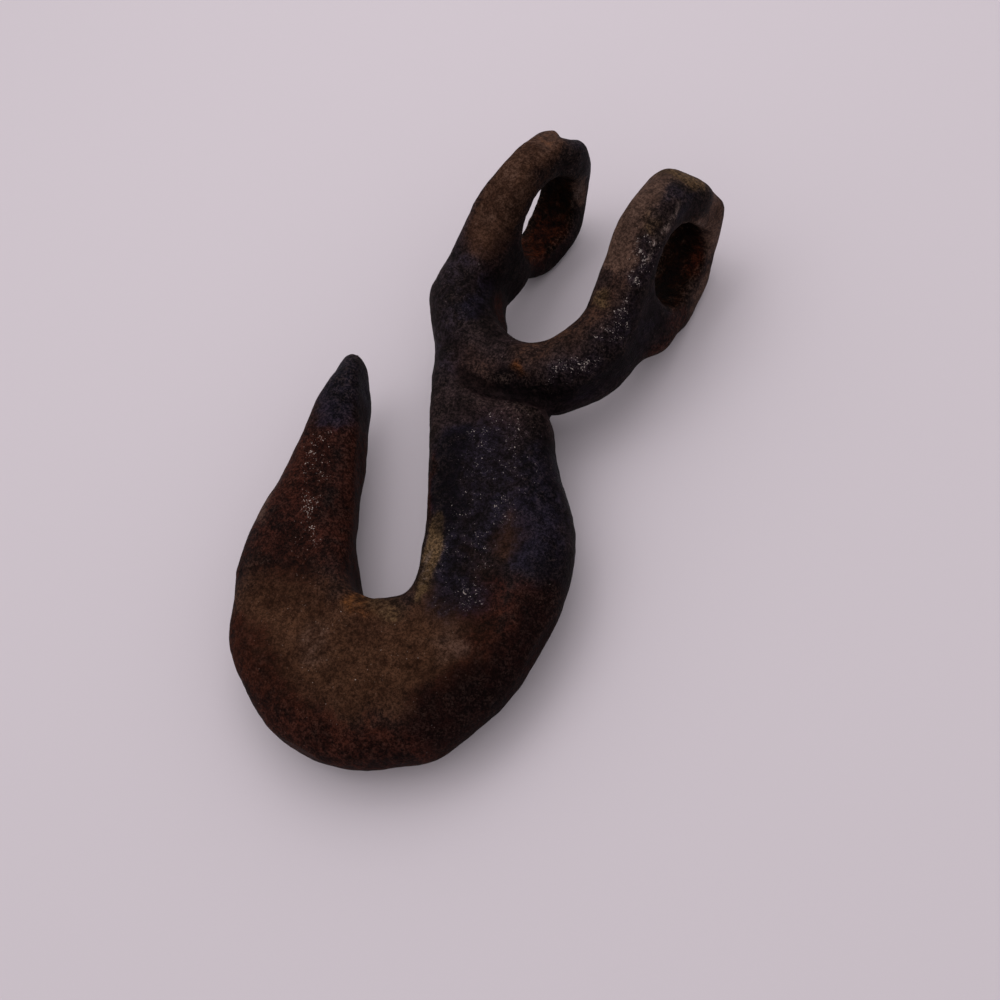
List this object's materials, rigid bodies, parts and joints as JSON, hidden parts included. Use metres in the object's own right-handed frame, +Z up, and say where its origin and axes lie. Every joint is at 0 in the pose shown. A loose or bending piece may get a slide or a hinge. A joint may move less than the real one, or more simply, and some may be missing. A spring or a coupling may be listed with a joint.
{
  "type": "clevis grab hook",
  "caption": "Forged steel chain hook with a narrow parallel slot, a tapered point and a U-shaped clevis with two eyes for a pin, old and rusted.",
  "frame": {"origin": "centre of the clevis pin's bore, midway between the two eyes", "axes": "+X along the pin, +Y along the line of load from the chain slot towards the tops of the eyes, +Z up from the surface that the hook lies on"},
  "size_m": [0.0556, 0.1086, 0.026],
  "materials": {
    "rusted_steel": "rusted forged steel, brown and blue-black scale, pitted, matt with dull bare ridges"
  },
  "bodies": {
    "root": {"hook_body": "rusted_steel"}
  },
  "joints": []
}
